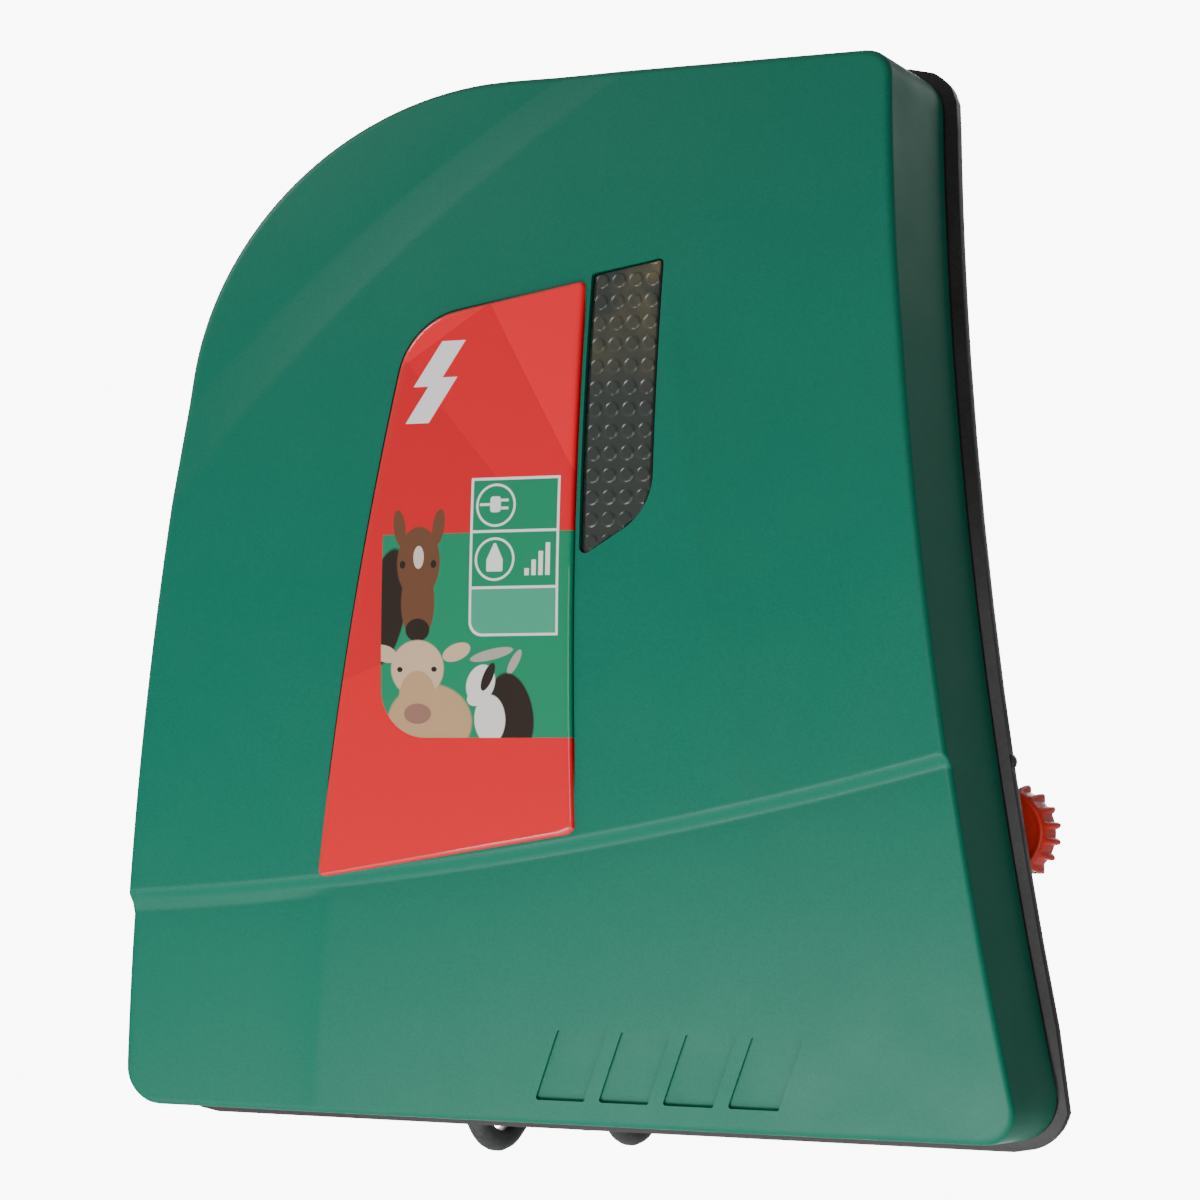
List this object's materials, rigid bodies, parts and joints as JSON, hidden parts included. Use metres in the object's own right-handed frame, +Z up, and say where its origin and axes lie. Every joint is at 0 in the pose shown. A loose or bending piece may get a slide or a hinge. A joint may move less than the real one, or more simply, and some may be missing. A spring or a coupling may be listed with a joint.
{
  "type": "fence energizer",
  "caption": "Wall-hung mains fence energizer with an arched sail-shaped cover, smoked display window, domed label, screw terminals and a tied mains lead.",
  "frame": {"origin": "on the flat back of the rear tub, where it lies on the wall, on the cover's middle line", "axes": "+X to the right seen from the front, +Y into the wall, +Z up; the arched cover faces -Y"},
  "size_m": [0.2276, 0.0969, 0.2541],
  "materials": {
    "cover_green": "satin moulded plastic with a fine pearl grain",
    "case_black": "satin moulded plastic",
    "seal_rubber": "matt",
    "window_smoke": "smoked, dimpled inside",
    "diffuser": "translucent, satin",
    "label_print": "printed film",
    "label_resin": "clear domed resin over a red print",
    "board": "solder mask",
    "led_lens": "moulded lens",
    "core_steel": "laminated steel, varnished",
    "winding": "enamelled copper wire",
    "component_dark": "moulded",
    "component_blue": "sleeved",
    "aluminium": "extruded",
    "fuse_glass": "clear",
    "zinc_steel": "zinc plated",
    "brass": "plain",
    "knob_red": "satin",
    "knob_green": "satin",
    "wire_red": "PVC sheath",
    "wire_green": "PVC sheath",
    "lead_pvc": "dark grey PVC sheath, satin",
    "tie_nylon": "nylon strap"
  },
  "bodies": {
    "case": {"board_screw_1": "zinc_steel", "board_screw_2": "zinc_steel", "board_screw_3": "zinc_steel", "board_screw_4": "zinc_steel", "bulk_capacitor": "component_dark", "charging_choke": "winding", "controller_chip": "component_dark", "cord_gland": "lead_pvc", "cord_tie": "tie_nylon", "cover_screw_1": "zinc_steel", "cover_screw_2": "zinc_steel", "cover_screw_3": "zinc_steel", "cover_screw_4": "zinc_steel", "cover_screw_5": "zinc_steel", "cover_screw_6": "zinc_steel", "cover_seal": "seal_rubber", "display_board": "board", "display_window": "window_smoke", "fence_bar": "brass", "fence_block": "case_black", "fence_nut": "zinc_steel", "fence_stud": "zinc_steel", "fence_wire": "wire_red", "filter_capacitor": "component_blue", "front_cover": "cover_green", "ground_bar": "brass", "ground_block": "case_black", "ground_nut": "zinc_steel", "ground_stud": "zinc_steel", "ground_wire": "wire_green", "hanging_tab_1": "zinc_steel", "hanging_tab_2": "zinc_steel", "hanging_tab_3": "zinc_steel", "heat_sink": "aluminium", "label_dome": "label_resin", "label_plate": "label_print", "led_1": "led_lens", "led_2": "led_lens", "led_3": "led_lens", "light_guide": "diffuser", "main_board": "board", "mains_fuse": "fuse_glass", "mains_hank": "lead_pvc", "mains_inner_lead": "lead_pvc", "mains_lead": "lead_pvc", "mains_plug": "lead_pvc", "plug_lead": "lead_pvc", "rear_flange": "case_black", "rear_tub": "case_black", "rectifier": "component_dark", "storage_capacitor": "component_blue", "thyristor": "component_dark", "transformer_core": "core_steel", "transformer_winding": "winding"},
    "fence_clamp": {"fence_washer": "zinc_steel"},
    "fence_turn": {"fence_knob": "knob_red"},
    "ground_clamp": {"ground_washer": "zinc_steel"},
    "ground_turn": {"ground_knob": "knob_green"}
  },
  "joints": [
    {"name": "fence_clamp_slide", "type": "slide", "parent": "case", "child": "fence_clamp", "axis": [0, -1, 0], "range_m": [0, 0.005]},
    {"name": "fence_knob_turn", "type": "hinge", "parent": "fence_clamp", "child": "fence_turn", "pos_m": [0.0962, -0.0346, -0.14], "axis": [0, -1, 0], "range_deg": [0, 1800]},
    {"name": "ground_clamp_slide", "type": "slide", "parent": "case", "child": "ground_clamp", "axis": [0, -1, 0], "range_m": [0, 0.005]},
    {"name": "ground_knob_turn", "type": "hinge", "parent": "ground_clamp", "child": "ground_turn", "pos_m": [-0.0962, -0.0346, -0.14], "axis": [0, -1, 0], "range_deg": [0, 1800]}
  ],
  "couplings": [
    {"joint": "fence_clamp_slide", "follows": "fence_knob_turn", "m_per_rad": 0.000159},
    {"joint": "ground_clamp_slide", "follows": "ground_knob_turn", "m_per_rad": 0.000159}
  ]
}
